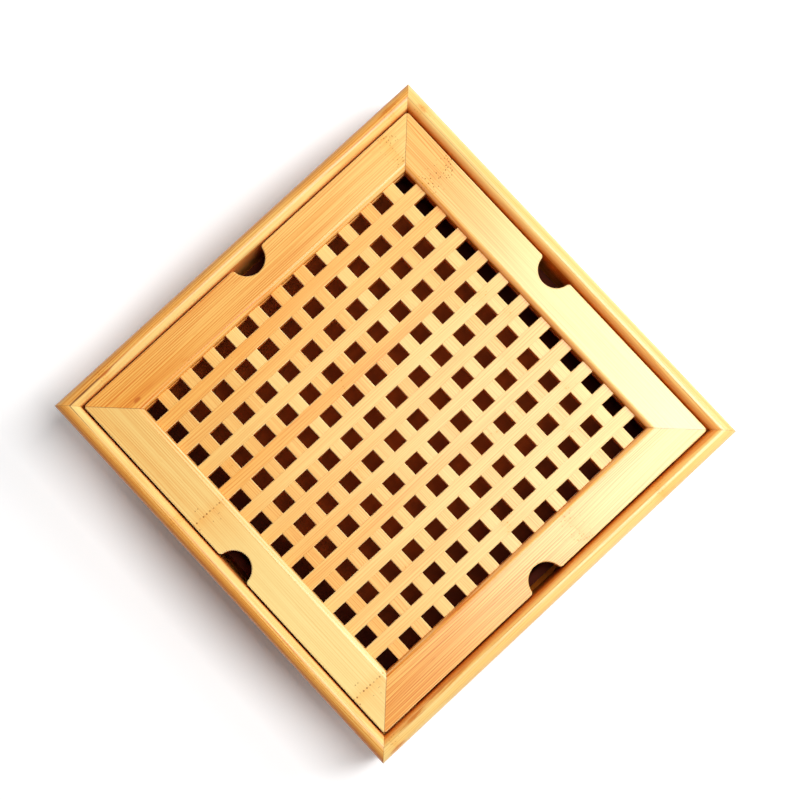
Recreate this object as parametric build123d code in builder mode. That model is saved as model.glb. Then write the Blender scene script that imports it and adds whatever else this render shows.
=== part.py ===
# Gongfu tea tray: a mitred bamboo box with a lift-out grid panel over a loose water tray.
# Millimetres, +Z up. The origin is on the ground, under the middle of the tray.
# The front is -Y, the right is +X. The long slats run along Y and the cross slats along X.

from build123d import *
import os

os.makedirs("parts", exist_ok=True)

# Box
tray_side = 280.0  # outside of the walls, both ways
tray_height = 60.0  # ground to the ridge of the rim
wall_thickness = 11.0
wall_ease = 1.0  # bevel along the lower edges of the walls
ground_gap = 4.0  # ground to the lower edges of the walls

# Floor panel, let into a groove round the walls
floor_thickness = 5.0
floor_lift = 3.0  # lower edge of the walls to the underside of the floor
floor_tongue = 4.7  # how far the floor reaches into each wall
end_slack = 0.3  # empty end of a groove, past the tongue in it

# Feet: rubber pads glued under the floor
foot_diameter = 16.0
foot_wall_gap = 1.0  # foot to the inner face of a wall

# Corner blocks, three-sided in plan with the two sharp tips cut off
block_reach = 17.0  # middle of the foot below to the tip of the block, along a wall
block_tip = 3.0

# Lift-out panel: four mitred rails round the lattice
panel_clearance = 1.2  # panel to each wall
panel_drop = 2.5  # ridge of the rim to the tops of the rails
rail_width = 24.8
rail_thickness = 15.0
rail_roundover = 3.5  # along the inner edge, from the rail's top down to the slats
rail_arris = 0.5  # fine bevel along the upper outer edge
rail_lead_in = 1.0  # bevel along the lower outer edge, which guides the panel into the box
panel_corner = 2.0  # radius of the eased outer corners, each shared by two rails
notch_radius = 10.8  # finger notch in the middle of each rail's outer edge
notch_lip = 2.0  # rounding where the notch meets that edge

# Loose splines across the mitres of the rails
spline_length = 14.0  # along the mitre
spline_width = 12.0  # across the mitre
spline_thickness = 4.0

# Lattice of half-lapped slats with tongues in a groove round the rails
slats_each_way = 11
slat_width = 8.25
slat_thickness = 8.0
slat_tongue_length = 5.0
slat_tongue_thickness = 4.0
slat_tongue_drop = 2.0  # top of a slat to the top of its tongue
hole_arris = 0.4  # fine bevel round the top of each hole
joint_slack = 0.1  # whole play of a tongue, a spline or a lap in its slot

# Drip tray
drip_wall_gap = 4.0  # flange to each wall of the box
drip_headroom = 6.5  # flange to the undersides of the rails
drip_wall = 2.0
drip_draft = 5.0  # degrees
drip_flange = 5.0  # how far the flange stands out from the top of the walls
drip_flange_thickness = 2.0
drip_block_gap = 2.5  # rounded corners of the flange to the corner blocks
drip_inner_bevel = 4.0  # where the floor of the drip tray turns up into its walls

# Places and sizes that follow
box_half = tray_side / 2
inner_half = box_half - wall_thickness
floor_bottom = ground_gap + floor_lift
floor_top = floor_bottom + floor_thickness
floor_side = 2 * (inner_half + floor_tongue)
groove_reach = floor_tongue + end_slack

panel_half = inner_half - panel_clearance
opening = 2 * (panel_half - rail_width)
rail_top = tray_height - panel_drop
rail_bottom = rail_top - rail_thickness

slats_top = rail_top - rail_roundover
slats_bottom = slats_top - slat_thickness
lap_height = slats_top - slat_thickness / 2
tongue_top = slats_top - slat_tongue_drop
tongue_bottom = tongue_top - slat_tongue_thickness
holes_each_way = slats_each_way + 1
hole = (opening - slats_each_way * slat_width) / holes_each_way
slat_pitch = hole + slat_width
first_slat = -slat_pitch * (slats_each_way - 1) / 2
tongue_span = opening + 2 * slat_tongue_length

foot_inset = foot_wall_gap + foot_diameter / 2
foot_place = inner_half - foot_inset
block_leg = foot_inset + block_reach

drip_half = inner_half - drip_wall_gap
drip_top = rail_bottom - drip_headroom
drip_height = drip_top - floor_top
# Along the diagonal of a corner, the flange's arc stays clear of the block's long face
block_depth = (block_leg + block_tip) / 2**0.5
drip_corner = (block_depth + drip_block_gap - drip_wall_gap * 2**0.5) / (2**0.5 - 1)

# A wall and a rail are made as the front one, which is then turned to the other three sides.
# The two vertical mitre planes pass through the middle of the tray.
right_mitre = Plane(origin=(0, 0, 0), z_dir=(1, 1, 0))
left_mitre = Plane(origin=(0, 0, 0), z_dir=(-1, 1, 0))
sides = {"front": 0, "right": 90, "back": 180, "left": 270}
corners = {"front_right": 0, "back_right": 90, "back_left": 180, "front_left": 270}


def save(piece, name):
    """Labels a finished piece and writes its STEP file under the same name."""
    piece.part.label = name
    export_step(piece.part, f"parts/{name}.step")


# Walls: bullnose on top, bevelled below, with a groove inside for the floor
with BuildPart() as wall_shape:
    with BuildSketch(Plane.YZ) as wall_section:
        with BuildLine():
            shoulder = tray_height - wall_thickness / 2
            outer_top = (-box_half, shoulder)
            ridge = (-box_half + wall_thickness / 2, tray_height)
            inner_top = (-inner_half, shoulder)
            ThreePointArc(outer_top, ridge, inner_top)
            Polyline(inner_top, (-inner_half, ground_gap), (-box_half, ground_gap), outer_top)
        make_face()
        chamfer(wall_section.vertices().group_by(Axis.Y)[0], wall_ease)
        with Locations((-inner_half, floor_bottom)):
            Rectangle(
                groove_reach,
                floor_thickness + joint_slack,
                align=(Align.MAX, Align.MIN),
                mode=Mode.SUBTRACT,
            )
    extrude(amount=box_half, both=True)
    split(bisect_by=right_mitre, keep=Keep.BOTTOM)
    split(bisect_by=left_mitre, keep=Keep.BOTTOM)

for side, turn in sides.items():
    with BuildPart() as wall:
        add(wall_shape.part, rotation=(0, 0, turn))
    save(wall, f"wall_{side}")

# Floor panel
with BuildPart() as floor_panel:
    with BuildSketch(Plane.XY.offset(floor_bottom)):
        Rectangle(floor_side, floor_side)
    extrude(amount=floor_thickness)
save(floor_panel, "floor_panel")

# Corner blocks, glued to two walls and the floor: the panel lies on their tops
with BuildPart() as block_shape:
    with BuildSketch(Plane.XY.offset(floor_top)):
        with BuildLine():
            Polyline(
                (inner_half, -inner_half),
                (inner_half, -inner_half + block_leg),
                (inner_half - block_tip, -inner_half + block_leg),
                (inner_half - block_leg, -inner_half + block_tip),
                (inner_half - block_leg, -inner_half),
                close=True,
            )
        make_face()
    extrude(amount=rail_bottom - floor_top)

for corner, turn in corners.items():
    with BuildPart() as corner_block:
        add(block_shape.part, rotation=(0, 0, turn))
    save(corner_block, f"corner_block_{corner}")

# Feet, one under each corner block
with BuildPart() as foot_shape:
    with BuildSketch(Plane.XY.offset(floor_bottom)):
        with Locations((foot_place, -foot_place)):
            Circle(foot_diameter / 2)
    extrude(amount=-floor_bottom)

for corner, turn in corners.items():
    with BuildPart() as foot:
        add(foot_shape.part, rotation=(0, 0, turn))
    save(foot, f"foot_{corner}")

# Rails of the panel
with BuildPart() as rail_shape:
    with BuildSketch(Plane.YZ) as rail_section:
        with Locations((-panel_half, rail_bottom)):
            Rectangle(rail_width, rail_thickness, align=(Align.MIN, Align.MIN))
        fillet(rail_section.vertices().group_by(Axis.Y)[-1].sort_by(Axis.X)[-1], rail_roundover)
        chamfer(rail_section.vertices().group_by(Axis.Y)[0].sort_by(Axis.X)[0], rail_lead_in)
        with Locations((-opening / 2, tongue_bottom)):
            Rectangle(
                slat_tongue_length + end_slack,
                slat_tongue_thickness + joint_slack,
                align=(Align.MAX, Align.MIN),
                mode=Mode.SUBTRACT,
            )
    extrude(amount=panel_half, both=True)
    # Finger notch, with the corners of its mouth softened
    with BuildSketch(Plane.XY.offset(rail_bottom)) as notch:
        with Locations((0, -panel_half)):
            Circle(notch_radius)
            Rectangle(4 * notch_radius, notch_radius, align=(Align.CENTER, Align.MAX))
        mouth = notch.vertices().filter_by(lambda v: abs(v.X) < 1.5 * notch_radius).group_by(Axis.Y)[-1]
        fillet(mouth, notch_lip)
    extrude(amount=rail_thickness, mode=Mode.SUBTRACT)
    with BuildSketch(Plane.XY.offset(rail_bottom)):
        RectangleRounded(2 * panel_half, 2 * panel_half, panel_corner)
    extrude(amount=rail_thickness, mode=Mode.INTERSECT)
    split(bisect_by=right_mitre, keep=Keep.BOTTOM)
    split(bisect_by=left_mitre, keep=Keep.BOTTOM)
    # Arris along the upper outer edge, which follows the corners and the notch round
    top_edges = rail_shape.faces().sort_by(Axis.Z)[-1].edges()
    straight_edges = top_edges.filter_by(Axis.X).sort_by(Axis.Y)[:-1]
    chamfer(top_edges.filter_by(GeomType.CIRCLE) + straight_edges, rail_arris)
    # Slots across both mitres for the splines
    spline_place = (panel_half + opening / 2) / 2
    spline_bottom = rail_bottom + (rail_thickness - spline_thickness) / 2
    with BuildSketch(Plane.XY.offset(spline_bottom)):
        for place, turn in ((spline_place, -45), (-spline_place, 45)):
            with Locations((place, -spline_place)):
                Rectangle(spline_length + joint_slack, spline_width + joint_slack, rotation=turn)
    extrude(amount=spline_thickness + joint_slack, mode=Mode.SUBTRACT)

for side, turn in sides.items():
    with BuildPart() as rail:
        add(rail_shape.part, rotation=(0, 0, turn))
    save(rail, f"rail_{side}")

# Splines, one across each mitre
with BuildPart() as mitre_splines:
    with BuildSketch(Plane.XY.offset(spline_bottom)):
        with PolarLocations(spline_place * 2**0.5, 4, start_angle=45):
            Rectangle(spline_length, spline_width)
    extrude(amount=spline_thickness)
save(mitre_splines, "mitre_splines")

# Long slat, along Y: notched from below, so its top runs through every crossing
with BuildPart() as long_slat_shape:
    with BuildSketch(Plane.YZ):
        with Locations((0, slats_bottom)):
            Rectangle(opening, slat_thickness, align=(Align.CENTER, Align.MIN))
        with Locations((0, tongue_bottom)):
            Rectangle(tongue_span, slat_tongue_thickness, align=(Align.CENTER, Align.MIN))
        with Locations((0, slats_bottom)):
            with GridLocations(slat_pitch, slat_pitch, slats_each_way, 1):
                Rectangle(
                    slat_width + joint_slack,
                    lap_height - slats_bottom,
                    align=(Align.CENTER, Align.MIN),
                    mode=Mode.SUBTRACT,
                )
    extrude(amount=slat_width / 2, both=True)
    with BuildSketch(Plane.XY.offset(slats_top)):
        with GridLocations(slat_pitch, slat_pitch, 2, holes_each_way):
            Rectangle(hole + 2 * hole_arris, hole + 2 * hole_arris)
    extrude(amount=-hole_arris, taper=45, mode=Mode.SUBTRACT)

# Cross slat, along X: notched from above, so it shows only between the long slats
with BuildPart() as cross_slat_shape:
    with BuildSketch(Plane.XZ):
        with Locations((0, slats_bottom)):
            Rectangle(opening, slat_thickness, align=(Align.CENTER, Align.MIN))
        with Locations((0, tongue_bottom)):
            Rectangle(tongue_span, slat_tongue_thickness, align=(Align.CENTER, Align.MIN))
        with Locations((0, lap_height)):
            with GridLocations(slat_pitch, slat_pitch, slats_each_way, 1):
                Rectangle(
                    slat_width + joint_slack,
                    slats_top - lap_height,
                    align=(Align.CENTER, Align.MIN),
                    mode=Mode.SUBTRACT,
                )
    extrude(amount=slat_width / 2, both=True)
    with BuildSketch(Plane.XY.offset(slats_top)):
        with GridLocations(slat_pitch, slat_pitch, holes_each_way, 2):
            Rectangle(hole + 2 * hole_arris, hole + 2 * hole_arris)
    extrude(amount=-hole_arris, taper=45, mode=Mode.SUBTRACT)

for number in range(slats_each_way):
    place = first_slat + number * slat_pitch
    with BuildPart() as long_slat:
        with Locations((place, 0)):
            add(long_slat_shape.part)
    save(long_slat, f"long_slat_{number + 1:02d}")
    with BuildPart() as cross_slat:
        with Locations((0, place)):
            add(cross_slat_shape.part)
    save(cross_slat, f"cross_slat_{number + 1:02d}")

# Drip tray: tapered walls, rounded corners and a flange to lift it by
with BuildPart() as drip_tray:
    body_side = 2 * (drip_half - drip_flange)
    body_corner = drip_corner - drip_flange
    cavity_side = body_side - 2 * drip_wall
    cavity_corner = body_corner - drip_wall
    with BuildSketch(Plane.XY.offset(drip_top)):
        RectangleRounded(body_side, body_side, body_corner)
    extrude(amount=-drip_height, taper=drip_draft)
    with BuildSketch(Plane.XY.offset(drip_top)):
        RectangleRounded(2 * drip_half, 2 * drip_half, drip_corner)
    extrude(amount=-drip_flange_thickness)
    with BuildSketch(Plane.XY.offset(drip_top)):
        RectangleRounded(cavity_side, cavity_side, cavity_corner)
    extrude(amount=drip_wall - drip_height, taper=drip_draft, mode=Mode.SUBTRACT)
    cavity_floor = drip_tray.faces().filter_by(Axis.Z).group_by(Axis.Z)[1]
    chamfer(cavity_floor.edges(), drip_inner_bevel)
save(drip_tray, "drip_tray")
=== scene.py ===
# %% [markdown]
# # A bamboo tea tray, dressed for its picture
#
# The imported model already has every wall, rail and slat in its true place, so this lesson is
# about finishes and light. It gives the bamboo its grain, models the moulded parts that a solid
# model leaves plain, which are the drip tray and the rubber feet, and sets a camera and two soft
# lamps over a white table.

# %% load the frame
import bpy
import math
from mathutils import Matrix, Vector


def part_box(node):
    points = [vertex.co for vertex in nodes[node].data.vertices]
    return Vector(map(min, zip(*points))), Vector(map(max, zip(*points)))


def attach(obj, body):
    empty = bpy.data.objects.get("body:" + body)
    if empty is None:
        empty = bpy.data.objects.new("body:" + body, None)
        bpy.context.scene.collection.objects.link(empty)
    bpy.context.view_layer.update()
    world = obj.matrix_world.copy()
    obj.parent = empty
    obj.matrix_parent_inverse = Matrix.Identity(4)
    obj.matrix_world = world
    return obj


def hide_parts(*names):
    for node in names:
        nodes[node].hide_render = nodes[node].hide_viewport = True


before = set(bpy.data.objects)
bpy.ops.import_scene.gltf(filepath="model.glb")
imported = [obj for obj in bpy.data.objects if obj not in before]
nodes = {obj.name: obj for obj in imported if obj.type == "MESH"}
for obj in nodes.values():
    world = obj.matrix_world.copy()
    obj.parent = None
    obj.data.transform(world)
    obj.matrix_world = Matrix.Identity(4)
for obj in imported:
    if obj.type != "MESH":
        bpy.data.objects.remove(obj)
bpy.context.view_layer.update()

# %% [markdown]
# A few sizes and names come back many times, so they are kept together. Lengths are in metres.
# The front is -Y. Each side of the box and of the panel is the front one turned about Z, and
# so is its grain: one turn brings any board onto the front board.

# %% sizes of the tray
rim_middle = 0.1345
panel_half = -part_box("rail_front")[0].y
slat_pitch = (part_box("long_slat_11")[0].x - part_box("long_slat_01")[0].x) / 10
side_turns = {"front": 0, "right": -90, "back": 180, "left": 90}
corners = ("front_right", "back_right", "back_left", "front_left")
print("panel", round(2 * panel_half, 4), "m wide, slat pitch", round(slat_pitch, 5))

# %% [markdown]
# The picture is taken from almost straight above with a long lens, and the tray stands on its
# corner in it. Three things fix such a view: where the camera stands, the point that it looks
# at, and which way is up in the picture. From the first two comes the line of sight, and the
# third sets the roll.

# %% camera
camera_place = Vector((0.05829, -0.07058, 1.19647))
looks_at = Vector((-0.00640, 0.00925, 0.0535))
picture_up = Vector((-0.73027, 0.67739, 0.08865))

camera_data = bpy.data.cameras.new("camera")
camera_data.lens = 88.79
camera_data.sensor_width = 36
camera = bpy.data.objects.new("camera", camera_data)
bpy.context.scene.collection.objects.link(camera)
backwards = (camera_place - looks_at).normalized()
rightwards = picture_up.cross(backwards).normalized()
upwards = backwards.cross(rightwards)
turned = Matrix((rightwards, upwards, backwards)).transposed()
camera.matrix_world = Matrix.Translation(camera_place) @ turned.to_4x4()
bpy.context.scene.camera = camera
print("camera:", round((camera_place - looks_at).length, 3), "m from the tray")

# %% [markdown]
# Shader trees are long to wire by hand, so small helpers do it. `fill` sets or links the sockets
# of a node and `add_node` places one. `maths` is one sum on numbers, `vectors` is one on vectors
# and `split` takes a vector apart. `fade` turns a range of values into a soft mask, and `blend`
# lays one colour over another.

# %% helpers for single shader nodes
def fill(tree, node, inputs):
    """Links the sockets of a node to other nodes, or sets them to a value."""
    for socket, value in inputs.items():
        if isinstance(value, bpy.types.NodeSocket):
            tree.links.new(value, node.inputs[socket])
        else:
            node.inputs[socket].default_value = value


def add_node(tree, kind, inputs=None, **settings):
    """Places one shader node, then fills its sockets."""
    new = tree.nodes.new(kind)
    for setting, value in settings.items():
        setattr(new, setting, value)
    fill(tree, new, inputs or {})
    return new


def maths(tree, operation, *values, clamp=False):
    """One sum; gives its result."""
    filled = dict(enumerate(values))
    return add_node(tree, "ShaderNodeMath", filled, operation=operation, use_clamp=clamp).outputs[0]


def vectors(tree, operation, *values):
    """One sum on vectors; gives the node's outputs, 0 for a vector and "Value" for a number."""
    return add_node(tree, "ShaderNodeVectorMath", dict(enumerate(values)), operation=operation).outputs


def split(tree, vector):
    """The X, Y and Z of a vector."""
    return add_node(tree, "ShaderNodeSeparateXYZ", {0: vector}).outputs


def fade(tree, value, start, end, low=0.0, high=1.0):
    """A soft step: low before start, high after end."""
    filled = {0: value, 1: start, 2: end, 3: low, 4: high}
    return add_node(tree, "ShaderNodeMapRange", filled, interpolation_type="SMOOTHSTEP").outputs[0]


def blend(tree, share, under, over, mode="MIX"):
    """Lays one colour over another by a share."""
    filled = {0: share, 6: under, 7: over}
    return add_node(tree, "ShaderNodeMix", filled, data_type="RGBA", blend_type=mode).outputs[2]


print("helpers for nodes ready")

# %% [markdown]
# More helpers stand on those. `noise`, `cells` and `pick` are the three sources of chance: soft
# patches, scattered points, and one value for each number. A patch of noise is stretched, and
# the stretch says how many patches go into a metre along the board, across it and upwards. The
# last three helpers start a material or a node group, and close the group.

# %% helpers for textures, materials and groups
def noise(tree, place, stretch, board, detail=2.0, roughness=0.5):
    """Noise on stretched coordinates, different on each board."""
    filled = {
        "Vector": vectors(tree, "MULTIPLY", place, stretch)[0], "W": board, "Scale": 1.0,
        "Detail": detail, "Roughness": roughness,
    }
    return add_node(tree, "ShaderNodeTexNoise", filled, noise_dimensions="4D").outputs[0]


def cells(tree, place, per_metre, scatter):
    """A point in each cell of a grid; gives the distance to the nearest and its random number."""
    filled = {"Vector": place, "Scale": per_metre, "Randomness": scatter}
    points = add_node(tree, "ShaderNodeTexVoronoi", filled).outputs
    return points["Distance"], add_node(tree, "ShaderNodeSeparateColor", {0: points["Color"]}).outputs[0]


def pick(tree, number):
    """One random value for each number."""
    return add_node(tree, "ShaderNodeTexWhiteNoise", {"W": number}, noise_dimensions="1D").outputs[0]


def new_material(name):
    """A material with its tree and its shader."""
    material = bpy.data.materials.new(name)
    material.use_nodes = True
    return material, material.node_tree, material.node_tree.nodes["Principled BSDF"]


def new_group(name, takes, gives):
    """An empty node group; returns it with its inner ends."""
    group = bpy.data.node_groups.new(name, "ShaderNodeTree")
    for end, sockets in (("INPUT", takes), ("OUTPUT", gives)):
        for socket, kind in sockets.items():
            group.interface.new_socket(socket, in_out=end, socket_type="NodeSocket" + kind)
    return group, group.nodes.new("NodeGroupInput").outputs, group.nodes.new("NodeGroupOutput").inputs


def give(tree, result, **outputs):
    """Links what a group puts out."""
    for name, value in outputs.items():
        tree.links.new(value, result[name.replace("_", " ")])


print("helpers for materials ready")

# %% [markdown]
# Bamboo isn't wood. It has no rings: its flesh is straight fibres, so a planed strip shows
# fine parallel lines that run on for a hand's breadth and come and go on the way. Boards are
# glued up from strips, with a hair of dark glue between them, and each strip has its own tone.
# The lines are a ripple across the board, swayed by noise so that they bend and crowd a little,
# and more noise, stretched along the board, lets each one come and go. The strip's number goes
# in as the fourth coordinate of the noise, so that no line runs on across the glue. Layers are
# pressed together harder than strips, so the glue between them shows as a thinner line.

# %% node group: bamboo fibres
line_spacing = 0.00145
line_sway = 32.0
layer_pressing = 2.5
glue_core = 0.0001
next_layer, next_column = 5.3, 2.7
stretches = {
    "patches": (7, 35, 35), "sway": (7, 90, 90), "come and go": (25, 300, 300), "broken glue": (25, 25, 25),
    "fine lines": (12, 1700, 1700), "flecks": (110, 1500, 1500),
}
fibres, given, result = new_group(
    "bamboo fibres",
    {
        "Place": "Vector", "Board": "Float", "Strip width": "Float", "Strip height": "Float",
        "First strip": "Float", "Glue reach": "Float",
    },
    {
        "Lines": "Float", "Fine": "Float", "Tone": "Float", "Flecks": "Float", "Glue": "Float",
        "Strip": "Float",
    },
)
place = given["Place"]
_, side_place, height = split(fibres, place)

# Which strip this is, counted across the board and up through its layers.
past_first = maths(fibres, "SUBTRACT", side_place, given["First strip"])
across = maths(fibres, "DIVIDE", past_first, given["Strip width"])
upward = maths(fibres, "DIVIDE", height, given["Strip height"])
column = maths(fibres, "MULTIPLY_ADD", maths(fibres, "FLOOR", across), next_column, given["Board"])
strip = maths(fibres, "MULTIPLY_ADD", maths(fibres, "FLOOR", upward), next_layer, column)

# The glue, by how far it is to the nearest side of the strip. It is broken into stretches.
from_side = maths(fibres, "MULTIPLY", maths(fibres, "PINGPONG", across, 0.5), given["Strip width"])
from_layer = maths(fibres, "MULTIPLY", maths(fibres, "PINGPONG", upward, 0.5), given["Strip height"])
from_layer = maths(fibres, "MULTIPLY", from_layer, layer_pressing)
nearest = maths(fibres, "MINIMUM", from_side, from_layer)
glue = fade(fibres, nearest, glue_core, given["Glue reach"], 1.0, 0.0)
broken = fade(fibres, noise(fibres, place, stretches["broken glue"], strip), 0.35, 0.6)

# The lines, as wide as a thread and as long as a hand.
sway = maths(fibres, "MULTIPLY", noise(fibres, place, stretches["sway"], strip, 1.0), line_sway)
square_on = maths(fibres, "MULTIPLY", maths(fibres, "ADD", side_place, height), 2 * math.pi / line_spacing)
ripple = maths(fibres, "SINE", maths(fibres, "ADD", square_on, sway))
coming = noise(fibres, place, stretches["come and go"], strip, 1.0)
come_and_go = fade(fibres, coming, 0.35, 0.6, 0.3, 1.0)
give(
    fibres, result,
    Lines=maths(fibres, "MULTIPLY", fade(fibres, ripple, 0.1, 1.0), come_and_go),
    Fine=fade(fibres, noise(fibres, place, stretches["fine lines"], strip, 0.0), 0.36, 0.64),
    Tone=fade(fibres, noise(fibres, place, stretches["patches"], strip, 1.0), 0.25, 0.75),
    Flecks=fade(fibres, noise(fibres, place, stretches["flecks"], strip, 0.0), 0.72, 0.84),
    Glue=maths(fibres, "MULTIPLY", glue, broken),
    Strip=pick(fibres, strip),
)
print("bamboo fibres:", len(fibres.nodes), "nodes")

# %% [markdown]
# Every hand's breadth or two a bamboo cane has a node. In a planed strip it shows as one row
# of small dark pores straight across, and the flesh warms towards it. Where the plane met the
# node at a slant, the row falls apart into a cloud of fainter pores. Small cells, counted from
# the node, hold one pore each. The pores are scattered over the near part of their cells, so
# everything is shifted by half that scatter: then the node and the board's top both run through
# the middle of the pores. The row is the cells that hold the node, and the cloud is a chance
# pick of smaller cells around it, lifted a little to meet the top as well.

# %% node group: cane nodes
pore_pitch = 0.0025
pore_scatter = 0.3
stray_cells = 620.0
stray_scatter = 0.9
stray_lift = (0, 0, 0.0009)
cloud_core, cloud_reach = 0.003, 0.011
wander_least, wander_in_cloud = 0.002, 0.007
blush_close, blush_long = 0.007, 0.035
cane_nodes, given, result = new_group(
    "cane nodes",
    {"Place": "Vector", "Board": "Float", "Node place": "Float", "Node spacing": "Float", "Cloud": "Float"},
    {"Row": "Float", "Strays": "Float", "Blush": "Float"},
)
run, side_place, height = split(cane_nodes, given["Place"])

# How far it is to the nearest node, which wanders a little on its way across the board.
wander = noise(cane_nodes, given["Place"], (0, 40, 40), given["Board"], 1.0)
sideways = maths(cane_nodes, "MULTIPLY_ADD", given["Cloud"], wander_in_cloud, wander_least)
wandered = maths(cane_nodes, "MULTIPLY_ADD", maths(cane_nodes, "SUBTRACT", wander, 0.5), sideways, run)
from_node = maths(cane_nodes, "SUBTRACT", wandered, given["Node place"])
half_way = maths(cane_nodes, "MULTIPLY", given["Node spacing"], 0.5)
offset = maths(cane_nodes, "WRAP", from_node, half_way, maths(cane_nodes, "MULTIPLY", half_way, -1.0))
distance = maths(cane_nodes, "ABSOLUTE", offset)
half_scatter = pore_pitch * pore_scatter / 2
centred = [maths(cane_nodes, "ADD", part, half_scatter) for part in (offset, side_place, height)]
where = add_node(cane_nodes, "ShaderNodeCombineXYZ", dict(enumerate(centred))).outputs[0]

# The row of pores, uneven in strength and weaker where the cloud takes over.
from_pore, uneven = cells(cane_nodes, where, 1 / pore_pitch, pore_scatter)
row_dots = fade(cane_nodes, from_pore, 0.12, 0.30, 1.0, 0.0)
row_dots = maths(cane_nodes, "MULTIPLY", row_dots, fade(cane_nodes, uneven, 0.0, 0.8, 0.3, 1.0))
row_left = maths(cane_nodes, "MULTIPLY_ADD", given["Cloud"], -0.85, 1.0)
row_dots = maths(cane_nodes, "MULTIPLY", row_dots, row_left)
in_row = maths(cane_nodes, "LESS_THAN", distance, pore_pitch / 2)

# The cloud of stray pores: the more cloud, the better the odds of each.
lifted = vectors(cane_nodes, "ADD", where, stray_lift)[0]
from_stray, chance = cells(cane_nodes, lifted, stray_cells, stray_scatter)
stray_dots = fade(cane_nodes, from_stray, 0.16, 0.36, 1.0, 0.0)
odds = maths(cane_nodes, "MULTIPLY_ADD", given["Cloud"], -0.45, 0.95)
lucky = maths(cane_nodes, "GREATER_THAN", chance, odds)
nearby = fade(cane_nodes, distance, cloud_core, cloud_reach, 1.0, 0.0)

# The blush, short on one side of the node and long on the other.
close_blush = fade(cane_nodes, distance, 0.0, blush_close, 0.5, 0.0)
one_side = maths(cane_nodes, "GREATER_THAN", offset, 0.0)
long_blush = maths(cane_nodes, "MULTIPLY", fade(cane_nodes, offset, 0.0, blush_long, 0.5, 0.0), one_side)
give(
    cane_nodes, result,
    Row=maths(cane_nodes, "MULTIPLY", row_dots, in_row),
    Strays=maths(cane_nodes, "MULTIPLY", maths(cane_nodes, "MULTIPLY", stray_dots, nearby), lucky),
    Blush=maths(cane_nodes, "ADD", close_blush, long_blush),
)
print("cane nodes:", len(cane_nodes.nodes), "nodes")

# %% [markdown]
# This group gives three masks. Where two boards meet in a mitre, the glue shows as a thin brown line along
# the diagonal, and in the turned coordinates that line lies where the place along the board equals the place
# across it. On this tray every bevel leans halfway between flat and upright, so the slope of the surface
# alone finds them: they are made paler, partly as sanding wear and partly as a painted highlight. The slope
# also finds the upright sides of holes and notches, which are given painted shade.

# %% node group: joints, bevels and upright faces
halfway_lean = 0.7071
edge_masks, given, result = new_group(
    "joints and rubbed edges",
    {"Place": "Vector", "Normal": "Vector"},
    {"Mitre": "Float", "Rubbed": "Float", "Upright": "Float"},
)
along, outward = (maths(edge_masks, "ABSOLUTE", part) for part in split(edge_masks, given["Place"])[:2])
from_mitre = maths(edge_masks, "ABSOLUTE", maths(edge_masks, "SUBTRACT", outward, along))
lean = split(edge_masks, given["Normal"])[2]
off_bevel = maths(edge_masks, "ABSOLUTE", maths(edge_masks, "SUBTRACT", lean, halfway_lean))
give(
    edge_masks, result,
    Mitre=fade(edge_masks, from_mitre, 0.00008, 0.0004, 1.0, 0.0),
    Rubbed=fade(edge_masks, off_bevel, 0.04, 0.2, 1.0, 0.0),
    Upright=fade(edge_masks, maths(edge_masks, "ABSOLUTE", lean), 0.1, 0.4, 1.0, 0.0),
)
print("joints and rubbed edges:", len(edge_masks.nodes), "nodes")

# %% [markdown]
# A few marks belong to one board only, such as a small knot or a stain. Each is an oval with a
# ragged edge, so one group draws them all. It is given the middle of the oval and how much to
# shrink the board, along and across, so that the oval becomes a circle of radius one.

# %% node group: single mark
single_mark, given, result = new_group(
    "single mark", {"Place": "Vector", "Middle": "Vector", "Shrink": "Vector"}, {"Mark": "Float"},
)
offset = vectors(single_mark, "SUBTRACT", given["Place"], given["Middle"])[0]
shrunk = vectors(single_mark, "MULTIPLY", offset, given["Shrink"])[0]
from_middle = vectors(single_mark, "LENGTH", shrunk)["Value"]
ragged = noise(single_mark, given["Place"], (90, 1300, 1300), 0.0, 3.0, 0.6)
edge = maths(single_mark, "MULTIPLY_ADD", ragged, 1.8, maths(single_mark, "SUBTRACT", from_middle, 0.9))
give(single_mark, result, Mark=fade(single_mark, edge, 0.35, 1.0, 1.0, 0.0))
print("single mark:", len(single_mark.nodes), "nodes")

# %% [markdown]
# All the bamboo on the tray is mixed from eight colours. The other values are shared too: how
# far one strip or patch differs from the next, how strong each kind of line is, how much of the
# blush shows, how much the grain roughens the surface and how much it raises it.

# %% what all the bamboo shares
pale_flesh = (0.95, 0.72, 0.27, 1)
warm_flesh = (0.94, 0.43, 0.06, 1)
# Painted shade: the darker flesh that is laid on chosen slopes and on upright faces.
painted_shade_flesh = (0.88, 0.27, 0.025, 1)
# Paler flesh for the bevels, partly sanding wear and partly a painted highlight.
rubbed_and_highlit_flesh = (0.98, 0.80, 0.42, 1)
fibre_tint = (0.80, 0.45, 0.11, 1)
pore_brown = (0.27, 0.06, 0.004, 1)
glue_brown = (0.24, 0.075, 0.014, 1)
stain_brown = (0.60, 0.15, 0.008, 1)
tone_spread = 0.3
blush_share = 0.45
next_slat = 3.1
line_weights = {"Lines": 1.0, "Fine": 0.6, "Flecks": 0.6}
stray_weight = 0.9
matt, polish = 0.79, 0.7
rough_lines, rough_patches, rough_edges = 0.08, 0.05, 0.12
fine_relief, pore_relief = 0.4, 2.0
print("bamboo:", len(line_weights), "kinds of line")
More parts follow.
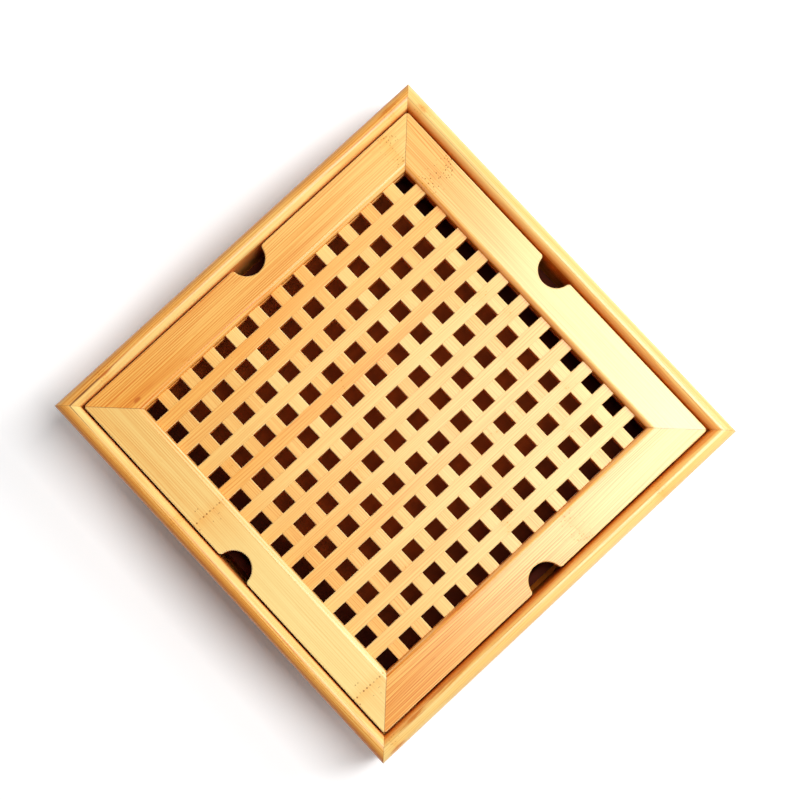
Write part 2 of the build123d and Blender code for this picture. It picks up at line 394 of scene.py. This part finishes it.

# %% [markdown]
# One function then mixes a bamboo from these parts. It starts from a pale and a warm flesh and paints light
# and shade into it where it is told to: painted shade on chosen slopes and on upright faces, and a paler
# colour on the bevels that is partly sanding wear and partly a painted highlight. Over that go the lines, the
# glue, the marks and the pores, and it ends in a Principled BSDF under a thin satin lacquer. The shine is the
# lacquer's, so the flesh below hardly reflects by itself. The lacquer fills most of the grain: the bump is
# very slight, and the roughness changes only a little along the fibres. There is no lacquer on the faces that
# were left bare, in the gap between box and panel, and none in the pores or in a glue line that has opened.

# %% bamboo material
def bamboo(name, turn=0, board=0.0, warmth=0.5, drift=0.0, lean=0.0, painted_shade=(), lines=0.35,
           strip=(1.0, 1.0, -0.5), node=(0.0, 0.2, 0.0), pores=0.8, glue=(0.3, 0.3, 0.0, 1.0, 0.0004),
           mitre=0.0, rubbed_and_highlit=0.6, marks=(), pitch=0.0, tip=(0, 0), lacquer=0.65, bare=(1.0, 2.0),
           upright_shade=0.0):
    """A bamboo finish. Its grain runs along X once it is turned about Z and tipped, in degrees.

    board: a number of its own, which every random choice on the board starts from
    warmth, drift, lean: how warm the flesh is, and how that changes along and across the board; on two walls
    the change across the rim is a painted highlight on its inner half and painted shade on its outer half
    painted shade on slopes: each with its start and end across the board and a share
    lines, mitre, then the paler bevels (partly sanding wear, partly a painted highlight) and the painted
    shade on upright faces: how strongly each of these shows
    strip: a strip's width and height, and where the first one starts
    node, pores: the node's place, the spacing of nodes and the share of cloud; the pores' strength
    glue: how strong it is at first and at last, where that change starts and ends, and its reach
    marks: each with its middle and its reach, along and across, and a share
    pitch: the pitch of a lattice, where one finish serves many slats
    lacquer, bare: how glossy it is, and where across the board the lacquer stops
    """
    material, tree, shader = new_material(name)
    place = add_node(tree, "ShaderNodeTexCoord").outputs["Object"]
    turned_by = [math.radians(angle) for angle in (*tip, turn)]
    place = add_node(tree, "ShaderNodeMapping", {"Vector": place, "Rotation": turned_by}).outputs[0]
    run, side_place, _ = split(tree, place)
    strip_width, strip_height, first_strip = strip
    node_place, node_spacing, cloud = node
    glue_first, glue_last, glue_start, glue_end, glue_reach = glue
    if pitch:
        number = maths(tree, "ROUND", maths(tree, "DIVIDE", side_place, pitch))
        board = maths(tree, "MULTIPLY_ADD", number, next_slat, board)
        node_place = maths(tree, "MULTIPLY", pick(tree, board), node_spacing)

    def grouped(group, **inputs):
        """Places one of the node groups and gives its outputs."""
        filled = {socket.replace("_", " "): value for socket, value in inputs.items()}
        return add_node(tree, "ShaderNodeGroup", {"Place": place, **filled}, node_tree=group).outputs

    grain = grouped(
        fibres, Board=board, Strip_width=strip_width, Strip_height=strip_height, First_strip=first_strip,
        Glue_reach=glue_reach,
    )
    cane = grouped(cane_nodes, Board=board, Node_place=node_place, Node_spacing=node_spacing, Cloud=cloud)
    facing = add_node(tree, "ShaderNodeNewGeometry").outputs["Normal"]
    edges = grouped(edge_masks, Normal=facing)

    # The flesh: its tone changes along and across the board, by strip and by patch.
    tone = maths(tree, "MULTIPLY_ADD", run, drift, warmth - tone_spread)
    # Across the board: on two walls' rims this is a painted highlight on the inner half and painted shade on
    # the outer half.
    tone = maths(tree, "MULTIPLY_ADD", maths(tree, "ADD", side_place, rim_middle), -lean, tone)
    tone = maths(tree, "MULTIPLY_ADD", grain["Strip"], tone_spread, tone)
    tone = maths(tree, "MULTIPLY_ADD", grain["Tone"], tone_spread, tone, clamp=True)
    colour = blend(tree, tone, pale_flesh, warm_flesh)
    colour = blend(tree, maths(tree, "MULTIPLY", cane["Blush"], blush_share), colour, warm_flesh)
    # The bevels: paler, partly sanding wear and partly a painted highlight.
    colour = blend(tree, maths(tree, "MULTIPLY", edges["Rubbed"], rubbed_and_highlit), colour, rubbed_and_highlit_flesh)
    # Painted shade on the chosen slopes.
    for start, end, share in painted_shade:
        colour = blend(tree, fade(tree, side_place, start, end, 0.0, share), colour, painted_shade_flesh)
    # Painted shade on upright faces, such as the sides of holes and notches.
    colour = blend(tree, maths(tree, "MULTIPLY", edges["Upright"], upright_shade), colour, painted_shade_flesh)

    # The lines, which show less on pale flesh.
    for texture, weight in line_weights.items():
        strongest = lines * weight
        strength = fade(tree, tone, 0.1, 0.8, 0.25 * strongest, strongest)
        share = maths(tree, "MULTIPLY", grain[texture], strength)
        colour = blend(tree, share, colour, fibre_tint, "MULTIPLY")

    # Glue, marks, pores and mitres lie over all of that.
    glue_seen = fade(tree, run, glue_start, glue_end, glue_first, glue_last)
    glue_share = maths(tree, "MULTIPLY", grain["Glue"], glue_seen, clamp=True)
    colour = blend(tree, glue_share, colour, glue_brown)
    for middle_along, middle_across, reach_along, reach_across, share in marks:
        middle, shrink = (middle_along, middle_across, 0), (1 / reach_along, 1 / reach_across, 0)
        mark = grouped(single_mark, Middle=middle, Shrink=shrink)["Mark"]
        colour = blend(tree, maths(tree, "MULTIPLY", mark, share), colour, stain_brown)
    colour = blend(tree, maths(tree, "MULTIPLY", cane["Strays"], pores * stray_weight), colour, pore_brown)
    colour = blend(tree, maths(tree, "MULTIPLY", cane["Row"], pores), colour, pore_brown)
    if mitre:
        colour = blend(tree, maths(tree, "MULTIPLY", edges["Mitre"], mitre), colour, glue_brown)

    # The surface: duller where the grain or a rubbed edge is rough, and sunk at the pores.
    satin = maths(tree, "MULTIPLY_ADD", grain["Lines"], rough_lines, matt - polish * lacquer)
    satin = maths(tree, "MULTIPLY_ADD", grain["Tone"], rough_patches, satin)
    satin = maths(tree, "MULTIPLY_ADD", edges["Rubbed"], rough_edges, satin)
    raised = maths(tree, "MULTIPLY_ADD", grain["Fine"], fine_relief, grain["Lines"])
    raised = maths(tree, "SUBTRACT", raised, maths(tree, "MULTIPLY", cane["Row"], pore_relief))
    bump = add_node(tree, "ShaderNodeBump", {"Strength": 0.25, "Distance": 0.00006, "Height": raised})

    # The lacquer over it.
    open_grain = maths(tree, "MAXIMUM", glue_share, maths(tree, "MAXIMUM", cane["Row"], cane["Strays"]))
    closed_grain = maths(tree, "SUBTRACT", 1.0, open_grain)
    coat = maths(tree, "MULTIPLY", fade(tree, side_place, *bare, lacquer, 0.0), closed_grain)
    fill(tree, shader, {
        "Base Color": colour, "Roughness": satin, "Normal": bump.outputs[0], "IOR": 1.45,
        "Specular IOR Level": 0.15, "Coat Weight": coat, "Coat Roughness": 0.28, "Coat IOR": 1.5,
    })
    return material


def finish(material, *names):
    """Gives CAD nodes a finish through their own material slots."""
    for name in names:
        for slot in nodes[name].material_slots:
            slot.material = material


print("bamboo material ready")

# %% [markdown]
# Each side of the box is its own board, glued up from two plies, its rim rounded right over, so a glue line
# runs along the rim, darker where it opened near the left corner of the picture. Nodes, knots and stains sit
# where the picture shows them, each at a place along its board and a place across it. The inner faces, past
# the rim, were left bare. Each wall also gets painted shade at the outer edge of its rim and on its inner
# side, and the front and left walls get a painted highlight on the inner half of the rim and painted shade on
# the outer half.

# %% walls
ply = 0.008
ply_seam = -0.1334
ply_height = 0.0185
walls = {
    "front": dict(
        board=0, warmth=0.47, lean=90, lacquer=0.5, node=(-0.045, 0.19, 0.6),
        painted_shade=((-0.1362, -0.1396, 0.5), (-0.1297, -0.1290, 0.8)), glue=(0.2, 1.0, -0.105, -0.130, 0.0005),
    ),
    "right": dict(
        board=11, warmth=0.36, lean=0, lacquer=0.65, node=(-0.1276, 0.21, 0.5),
        painted_shade=((-0.1390, -0.1399, 0.4), (-0.1326, -0.1298, 0.9)), glue=(0.25, 0.25, 0, 1, 0.0004),
        marks=(
            (-0.109, -0.1324, 0.0130, 0.0016, 0.8), (-0.085, -0.1312, 0.024, 0.0010, 0.8),
            (-0.1276, -0.1385, 0.008, 0.0012, 0.7),
        ),
    ),
    "back": dict(
        board=22, warmth=0.28, lean=0, lacquer=0.85, node=(0.122, 0.26, 0.6),
        painted_shade=((-0.1390, -0.1399, 0.4), (-0.1340, -0.1300, 0.85)), glue=(0.45, 0.45, 0, 1, 0.0004),
        marks=((0.123, -0.1352, 0.005, 0.0012, 0.4),),
    ),
    "left": dict(
        board=47, warmth=0.46, lean=40, lacquer=0.65, node=(-0.121, 0.227, 0.6),
        painted_shade=((-0.1380, -0.1399, 0.4), (-0.1299, -0.1290, 0.7)), glue=(0.2, 2.0, 0.085, 0.106, 0.0008),
        marks=((0.1055, -0.1334, 0.006, 0.0010, 0.8), (-0.121, -0.1362, 0.012, 0.0014, 0.6)),
    ),
}
for side, own in walls.items():
    wall_finish = bamboo(
        f"bamboo wall {side}", side_turns[side], lines=1.0, strip=(ply, ply_height, ply_seam - ply),
        pores=0.3, mitre=0.4, rubbed_and_highlit=0.0, bare=(-0.1293, -0.1290), **own,
    )
    finish(wall_finish, f"wall_{side}")
print("walls:", len(walls), "boards, their plies meet at", ply_seam)

# %% [markdown]
# The panel's rails are planed flat and wide, so a rail is one strip across, and the layers below it show only
# in its sides. Each has its own node with its pores. Its tone drifts along it, warmer towards one end. Three
# of the four have painted shade on the roundover beside the lattice, most on the back rail and least on the
# left. Their upright sides get painted shade too, and their bevels a paler colour, partly sanding wear and
# partly a painted highlight. The mitres between them are the clearest on the tray.

# %% rails of the panel
roundover = (-0.1064, -0.1035)
rail_strip = (0.030, 0.005, -panel_half - 0.002)
rails = {
    "front": dict(
        board=50, warmth=0.25, drift=-1.3, lines=0.9, lacquer=0.65, rubbed_and_highlit=0.9,
        node=(-0.0337, 0.1357, 0.1), pores=0.9,
    ),
    "right": dict(
        board=57, warmth=0.52, drift=-1.7, painted_shade=((*roundover, 0.45),), lines=1.0, lacquer=0.72, rubbed_and_highlit=0.6,
        node=(0.0327, 0.30, 0.7), pores=0.4,
    ),
    "back": dict(
        board=64, warmth=0.38, drift=2.3, painted_shade=((*roundover, 0.75),), lines=0.8, lacquer=0.85, rubbed_and_highlit=0.6,
        node=(0.088, 0.30, 1.0), pores=0.9,
    ),
    "left": dict(
        board=71, warmth=0.53, drift=2.4, painted_shade=((*roundover, 0.1),), lines=0.9, lacquer=0.55, rubbed_and_highlit=0.45,
        node=(-0.1078, 0.30, 0.6), pores=0.55, marks=((0.1026, -0.1097, 0.0030, 0.0018, 1.0),),
    ),
}
for side, own in rails.items():
    rail_finish = bamboo(
        f"bamboo rail {side}", side_turns[side], strip=rail_strip, mitre=0.75, upright_shade=0.85,
        bare=(-panel_half + 0.0003, -panel_half), **own,
    )
    finish(rail_finish, f"rail_{side}")
print("rails:", len(rails), "boards")

# %% [markdown]
# The slats need no material each. A slat's number is its place divided by the pitch of the
# lattice, rounded, and that number picks its tone and where its node falls.

# %% lattice
# The sides of the holes get painted shade, and the bevels round them a paler colour, partly sanding wear and
# partly a painted highlight.
slat = dict(lines=0.5, node=(0.0, 0.26, 0.2), pores=0.3, pitch=slat_pitch, rubbed_and_highlit=0.6, upright_shade=0.85)
long_slats = bamboo("bamboo long slats", -90, board=100, warmth=0.63, **slat)
cross_slats = bamboo("bamboo cross slats", 0, board=200, warmth=0.58, **slat)
numbers = [f"{number:02d}" for number in range(1, 12)]
finish(long_slats, *(f"long_slat_{number}" for number in numbers))
finish(cross_slats, *(f"cross_slat_{number}" for number in numbers))
print("lattice:", 2 * len(numbers), "slats")

# %% [markdown]
# Inside the box the floor is a board of strips, side by side, and the corner blocks stand on end, so their
# fibres run upwards. The splines are offcuts laid flat. None of them is lacquered. The floor gets painted
# shade all over: darker flesh, and a brown mark wide enough to cover the whole board.

# %% floor, corner blocks and splines
# Painted shade: the floor's darker flesh and the wide mark over all of it.
floor_finish = bamboo(
    "bamboo floor", board=300, warmth=0.8, painted_shade=((-1.0, -0.9, 0.8),), lines=0.5, strip=(0.020, 0.030, 0.0),
    node=(0.05, 0.24, 0.3), rubbed_and_highlit=0.0, lacquer=0.0, marks=((0, 0, 0.6, 0.6, 0.9),),
)
block_finish = bamboo(
    "bamboo corner blocks", board=320, warmth=0.6, node=(0.1, 0.3, 0.0), rubbed_and_highlit=0.0, tip=(0, 90),
    lacquer=0.0,
)
spline_finish = bamboo("bamboo splines", 45, board=340, node=(0.5, 2.0, 0.0), rubbed_and_highlit=0.0, lacquer=0.0)
finish(floor_finish, "floor_panel")
finish(block_finish, *(f"corner_block_{corner}" for corner in corners))
finish(spline_finish, "mitre_splines")
print("inside pieces finished")

# %% [markdown]
# The drip tray is vacuum formed or moulded: one thin skin everywhere, with no sharp inner
# corner. So it is modelled as a skin. A square gets its corners rounded by a vertex bevel,
# then repeated insets with a little depth walk over the mouth, down the wall and round into the
# bottom, as a hand would draw the section. Solidify then gives the skin its thickness, and a
# fine bevel takes the sharpness off its edges.

# %% drip tray
low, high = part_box("drip_tray")
skin = 0.002
flat_flange = 0.0038
corner_reach = 0.0419
mouth = [(0.0006, -0.0001), (0.0007, -0.0004), (0.0005, -0.0008), (0.0002, -0.0009)]
mouth_drop = 0.0022
wall_slope = math.radians(5)
inner_round = 0.006
round_steps = 6
bottom_ring = 0.015
edge_softness = 0.0005

wall_drop = high.z - low.z - skin - inner_round - mouth_drop
section = mouth + [(wall_drop * math.tan(wall_slope), -wall_drop)]
for step in range(round_steps):
    start, end = (wall_slope + (math.pi / 2 - wall_slope) * share / round_steps for share in (step, step + 1))
    inward = inner_round * (math.cos(start) - math.cos(end))
    section.append((inward, -inner_round * (math.sin(end) - math.sin(start))))

bpy.ops.object.select_all(action="DESELECT")
bpy.ops.mesh.primitive_plane_add(size=high.x - low.x, location=(0, 0, high.z))
drip_tray = bpy.context.object
drip_tray.name = "drip_tray_moulded"
bpy.ops.object.mode_set(mode="EDIT")
bpy.ops.mesh.select_all(action="SELECT")
bpy.ops.mesh.bevel(offset=corner_reach, segments=14, affect="VERTICES")
bpy.ops.mesh.inset(thickness=flat_flange)
for inward, down in section:
    bpy.ops.mesh.inset(thickness=inward, depth=down)
bpy.ops.mesh.inset(thickness=bottom_ring)
bpy.ops.object.mode_set(mode="OBJECT")

thicken = drip_tray.modifiers.new("skin", "SOLIDIFY")
thicken.thickness = skin
thicken.offset = -1
bpy.ops.object.modifier_apply(modifier="skin")
soften = drip_tray.modifiers.new("soft edge", "BEVEL")
soften.width = edge_softness
soften.segments = 2
soften.limit_method = "ANGLE"
soften.angle_limit = math.radians(50)
bpy.ops.object.modifier_apply(modifier="soft edge")
bpy.ops.object.transform_apply(location=True, rotation=True, scale=True)
bpy.ops.object.shade_smooth_by_angle(angle=math.radians(35))
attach(drip_tray, "drip_tray")
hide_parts("drip_tray")
heights = [v.co.z for v in drip_tray.data.vertices]
print("drip tray:", len(drip_tray.data.polygons), "faces, top at", round(max(heights), 4))

# %% [markdown]
# The four feet are rubber pads. A cylinder's lower edge is rounded and a shallow dish is pressed
# into its sole, as a moulded pad has. One is shaped at the middle of the world and then copied
# under each corner.

# %% rubber feet
low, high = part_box("foot_front_left")
foot_radius = (high.x - low.x) / 2
edge_round = 0.0012
sole_rim = 0.0018
dish_slope = 0.0005
dish_depth = 0.0004


def edit_sole(foot):
    """Goes to edit mode with only the faces selected that look straight down."""
    bpy.ops.object.mode_set(mode="EDIT")
    bpy.ops.mesh.select_all(action="DESELECT")
    bpy.ops.object.mode_set(mode="OBJECT")
    for face in foot.data.polygons:
        face.select = face.normal.z < -0.99
    bpy.ops.object.mode_set(mode="EDIT")


bpy.ops.object.select_all(action="DESELECT")
middle = (0, 0, high.z / 2)
bpy.ops.mesh.primitive_cylinder_add(vertices=48, radius=foot_radius, depth=high.z, location=middle)
first_foot = bpy.context.object
bpy.ops.object.transform_apply(location=True, rotation=True, scale=True)
edit_sole(first_foot)
bpy.ops.mesh.bevel(offset=edge_round, segments=4, affect="EDGES")
edit_sole(first_foot)
bpy.ops.mesh.inset(thickness=sole_rim)
bpy.ops.mesh.inset(thickness=dish_slope, depth=-dish_depth)
bpy.ops.object.mode_set(mode="OBJECT")
bpy.ops.object.shade_smooth_by_angle(angle=math.radians(40))
feet = []
for corner in corners:
    low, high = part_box(f"foot_{corner}")
    foot = first_foot.copy()
    foot.data = first_foot.data.copy()
    foot.name = f"rubber_foot_{corner}"
    foot.data.transform(Matrix.Translation(((low.x + high.x) / 2, (low.y + high.y) / 2, 0)))
    bpy.context.scene.collection.objects.link(foot)
    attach(foot, "box")
    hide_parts(f"foot_{corner}")
    feet.append(foot)
bpy.data.objects.remove(first_foot)
print("feet:", len(feet), "of", len(feet[0].data.polygons), "faces")

# %% [markdown]
# The drip tray is moulded in a red-brown plastic with a fine leathery texture and a dull shine. Its bottom
# has a lighter, patchy red-brown, which is the colour that shows through the holes. The rest is a much darker
# brown, which is painted shade: on the flange and the upper wall, at the back of the bottom, and in part
# towards the front and right, so the holes there look darker. The rubber is black and matt, with pale dust on
# its lower edge.

# %% plastic and rubber
def moulded(name, colour, marks, most, roughness, leather, leather_depth, fades, shade_towards=()):
    """A moulded skin with a leathery texture, so many cells to a metre and so deep.

    marks, most, fades: the colour laid over the base, its greatest share, and the heights that it fades
    between; on the rubber this is dust, and on the plastic the base it leaves uncovered is painted shade the
    places where it thins out into painted shade: each with its axis, its start and end, and the share left
    over
    """
    material, tree, shader = new_material(name)
    place = add_node(tree, "ShaderNodeTexCoord").outputs["Object"]
    parts = split(tree, place)
    cloud = noise(tree, place, (60, 60, 60), 0.0, 4.0, 0.6)
    patches = fade(tree, cloud, 0.4, 0.7, 0.6 * most, most)
    # On the plastic the base colour left uncovered is painted shade, high up and, below, towards the back,
    # front and right.
    dust_and_unshaded = maths(tree, "MULTIPLY", patches, fade(tree, parts[2], *fades, 1.0, 0.0))
    for axis, start, end, left_over in shade_towards:
        dust_and_unshaded = maths(tree, "MULTIPLY", dust_and_unshaded, fade(tree, parts[axis], start, end, 1.0, left_over))
    leathery = add_node(tree, "ShaderNodeTexVoronoi", {"Vector": place, "Scale": leather}).outputs["Distance"]
    bump = add_node(tree, "ShaderNodeBump", {"Strength": 0.5, "Distance": leather_depth, "Height": leathery})
    fill(tree, shader, {
        "Base Color": blend(tree, dust_and_unshaded, colour, marks),
        "Roughness": maths(tree, "MULTIPLY_ADD", cloud, 0.2, roughness - 0.1),
        "Normal": bump.outputs[0], "Specular IOR Level": 0.06,
    })
    return material


# The dark base colour is painted shade; the lighter red-brown over the bottom is the tray's own colour.
plastic = moulded(
    "red-brown plastic", colour=(0.05, 0.008, 0.003, 1), marks=(0.40, 0.070, 0.010, 1), most=1.0,
    roughness=0.7, leather=1400, leather_depth=0.00008, fades=(0.018, 0.034),
    shade_towards=((1, 0.088, 0.100, 0.0), (1, -0.080, -0.102, 0.2), (0, 0.050, 0.105, 0.3)),
)
rubber = moulded(
    "foot rubber", colour=(0.022, 0.021, 0.020, 1), marks=(0.16, 0.15, 0.13, 1), most=0.35,
    roughness=0.8, leather=2600, leather_depth=0.00005, fades=(0.0, 0.005),
)
drip_tray.data.materials.append(plastic)
for foot in feet:
    foot.data.materials.append(rubber)
print("plastic and rubber finished")

# %% [markdown]
# The table is plain white. One large soft lamp hangs high up, behind the back edge of the tray
# and a little to its right: its reflection in the satin lacquer pales the corner nearest to it,
# and the walls throw a soft shadow to the other side. A weaker window, low on the same side,
# lights the slopes that face it. The sky adds a weak even light. Seen directly or mirrored in
# the lacquer it is white at the height of a backdrop and dim overhead, as a studio is. The table
# glows a little, and more so far from the tray, so it stays white without more light on it.

# %% table, lamps and sky
def sight(tree):
    """The Light Path's outputs, and a mask of the rays that show a thing itself or mirrored."""
    path = add_node(tree, "ShaderNodeLightPath").outputs
    mirrored = maths(tree, "ADD", path["Is Glossy Ray"], path["Is Transmission Ray"])
    return path, maths(tree, "ADD", path["Is Camera Ray"], mirrored)


table_size = 8
glow_by_walls, glow_beside, glow_afar = 0.09, 0.26, 0.9
near_start, near_end = 0.147, 0.195
far_start, far_end = 0.25, 1.6
bpy.ops.object.select_all(action="DESELECT")
bpy.ops.mesh.primitive_plane_add(size=table_size, location=(0, 0, 0))
table = bpy.context.object
table.name = "table"
table_white, tree, shader = new_material("table white")
path, seen = sight(tree)
away = vectors(tree, "LENGTH", add_node(tree, "ShaderNodeTexCoord").outputs["Object"])["Value"]
far_glow = fade(tree, away, far_start, far_end, 0.0, glow_afar)
far_glow = maths(tree, "MULTIPLY", far_glow, path["Is Camera Ray"])
# The glow is weakest right by the walls, which deepens the shadow there: painted shade beside the tray.
near_glow = fade(tree, away, near_start, near_end, glow_by_walls, glow_beside)
near_glow = maths(tree, "MULTIPLY", near_glow, seen)
fill(tree, shader, {
    "Base Color": (0.95, 0.95, 0.95, 1), "Roughness": 1.0, "Specular IOR Level": 0.0,
    "Emission Color": (1, 1, 1, 1), "Emission Strength": maths(tree, "ADD", near_glow, far_glow),
})
table.data.materials.append(table_white)


def lamp(name, width, length, power, place, aim):
    """A rectangular soft lamp that shines on a point."""
    data = bpy.data.lights.new(name, "AREA")
    data.shape = "RECTANGLE"
    data.size, data.size_y, data.energy = width, length, power
    made = bpy.data.objects.new(name, data)
    made.location = place
    made.rotation_euler = (Vector(aim) - Vector(place)).to_track_quat("-Z", "Y").to_euler()
    bpy.context.scene.collection.objects.link(made)
    print(name, width, "by", length, "m,", power, "W")


lamp("overhead lamp", 0.65, 0.81, 19.4, place=(0.205, 0.44, 1.40), aim=(0.205, 0.44, 0))
lamp("window", 0.8, 0.6, 9.7, place=(0.47, 1.10, 0.98), aim=(0, 0, 0.05))

sky_light = 0.10
sky = bpy.data.worlds.new("sky")
sky.use_nodes = True
tree = sky.node_tree
_, seen = sight(tree)
upward = split(tree, add_node(tree, "ShaderNodeTexCoord").outputs["Generated"])[2]
backdrop = fade(tree, upward, 0.5, 0.92, 1.0, 0.2)
brighter = maths(tree, "MULTIPLY", seen, maths(tree, "SUBTRACT", backdrop, sky_light))
strength = maths(tree, "ADD", brighter, sky_light)
fill(tree, tree.nodes["Background"], {"Strength": strength, "Color": (0.97, 0.97, 1, 1)})
bpy.context.scene.world = sky
bpy.context.scene.view_settings.view_transform = "Standard"
